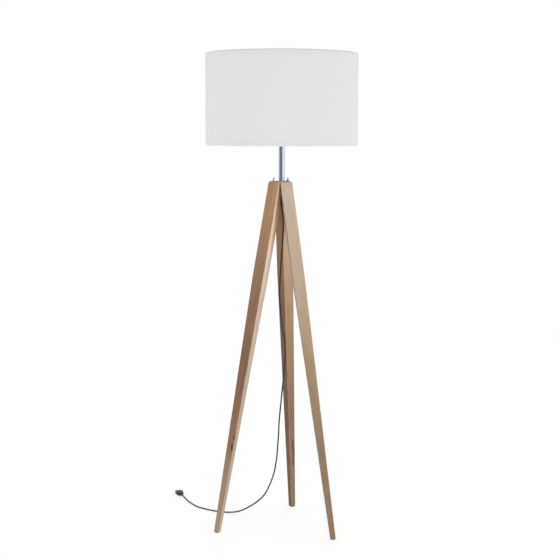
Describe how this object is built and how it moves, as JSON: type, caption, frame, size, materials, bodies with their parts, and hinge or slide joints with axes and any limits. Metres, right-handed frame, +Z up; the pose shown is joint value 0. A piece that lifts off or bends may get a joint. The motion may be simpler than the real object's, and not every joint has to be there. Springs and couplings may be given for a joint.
{
  "type": "tripod floor lamp",
  "caption": "Floor lamp on three tapered wooden legs with a short metal pole, a wide fabric drum shade, a screw-in bulb and a cord with a plug.",
  "frame": {"origin": "on the floor, under the pole's axis", "axes": "+Z up along the pole; the rear leg points along +Y and the two front legs lie either side of -Y"},
  "size_m": [0.7075, 0.5744, 1.586],
  "materials": {
    "wood_leg": "oiled, fine grain with knots",
    "felt": "felt",
    "steel_zinc": "zinc plated",
    "plate_steel": "satin",
    "pole_chrome": "polished",
    "gland_black": "moulded",
    "cord_black": "soft pvc, satin",
    "core_brown": "pvc",
    "core_blue": "pvc",
    "holder_white": "moulded, semi-gloss",
    "insert_ceramic": "unglazed steatite",
    "contact_brass": "bright",
    "bulb_metal": "nickel plated",
    "bulb_insulator": "black glass",
    "bulb_white": "white",
    "bulb_opal": "opal diffuser",
    "bulb_board": "board",
    "shade_fabric": "plain weave, off-white",
    "shade_lining": "translucent pvc lining",
    "wire_white": "white powder coat",
    "plug_black": "moulded",
    "pin_nickel": "nickel plated"
  },
  "bodies": {
    "stand": {"leg_left": "wood_leg", "leg_right": "wood_leg", "leg_rear": "wood_leg", "felt_pads": "felt", "leg_studs": "steel_zinc", "leg_washers": "steel_zinc", "leg_nuts": "steel_zinc", "hub_plate": "plate_steel", "hub_pipe": "steel_zinc", "hub_washer": "steel_zinc", "hub_nut": "steel_zinc", "cord_gland": "gland_black", "pole": "pole_chrome", "pole_lower_bush": "steel_zinc", "pole_upper_bush": "steel_zinc", "holder_pipe": "steel_zinc", "inner_cable": "cord_black", "core_live": "core_brown", "core_neutral": "core_blue", "holder_base": "holder_white", "holder_nut": "steel_zinc", "holder_sleeve": "holder_white", "holder_insert": "insert_ceramic", "thread_shell": "contact_brass", "centre_spring": "contact_brass", "shade_ring_nut": "holder_white", "switch_contact": "contact_brass", "cord": "cord_black", "plug_relief": "plug_black", "plug_body": "plug_black", "plug_pins": "pin_nickel"},
    "shade": {"shade_fabric": "shade_fabric", "shade_liner": "shade_lining", "shade_top_ring": "wire_white", "shade_bottom_ring": "wire_white", "spider_arms": "wire_white", "fitter_ring": "wire_white"},
    "switch": {"switch_bar": "holder_white", "switch_caps": "holder_white"},
    "bulb_carrier": {"bulb_tip": "bulb_metal"},
    "bulb": {"bulb_insulator": "bulb_insulator", "bulb_cap": "bulb_metal", "bulb_housing": "bulb_white", "bulb_led_board": "bulb_board", "bulb_globe": "bulb_opal"}
  },
  "joints": [
    {"name": "shade_turn", "type": "hinge", "parent": "stand", "child": "shade", "pos_m": [0, 0, 1.331], "axis": [0, 0, 1], "continuous": true},
    {"name": "switch_push", "type": "slide", "parent": "stand", "child": "switch", "axis": [1, 0, 0], "range_m": [0, 0.005]},
    {"name": "bulb_rise", "type": "slide", "parent": "stand", "child": "bulb_carrier", "axis": [0, 0, 1], "range_m": [0, 0.0109]},
    {"name": "bulb_turn", "type": "hinge", "parent": "bulb_carrier", "child": "bulb", "pos_m": [0, 0, 1.364], "axis": [0, 0, 1], "range_deg": [0, 1080]}
  ],
  "couplings": [
    {"joint": "bulb_rise", "follows": "bulb_turn", "m_per_rad": 0.00057757}
  ]
}
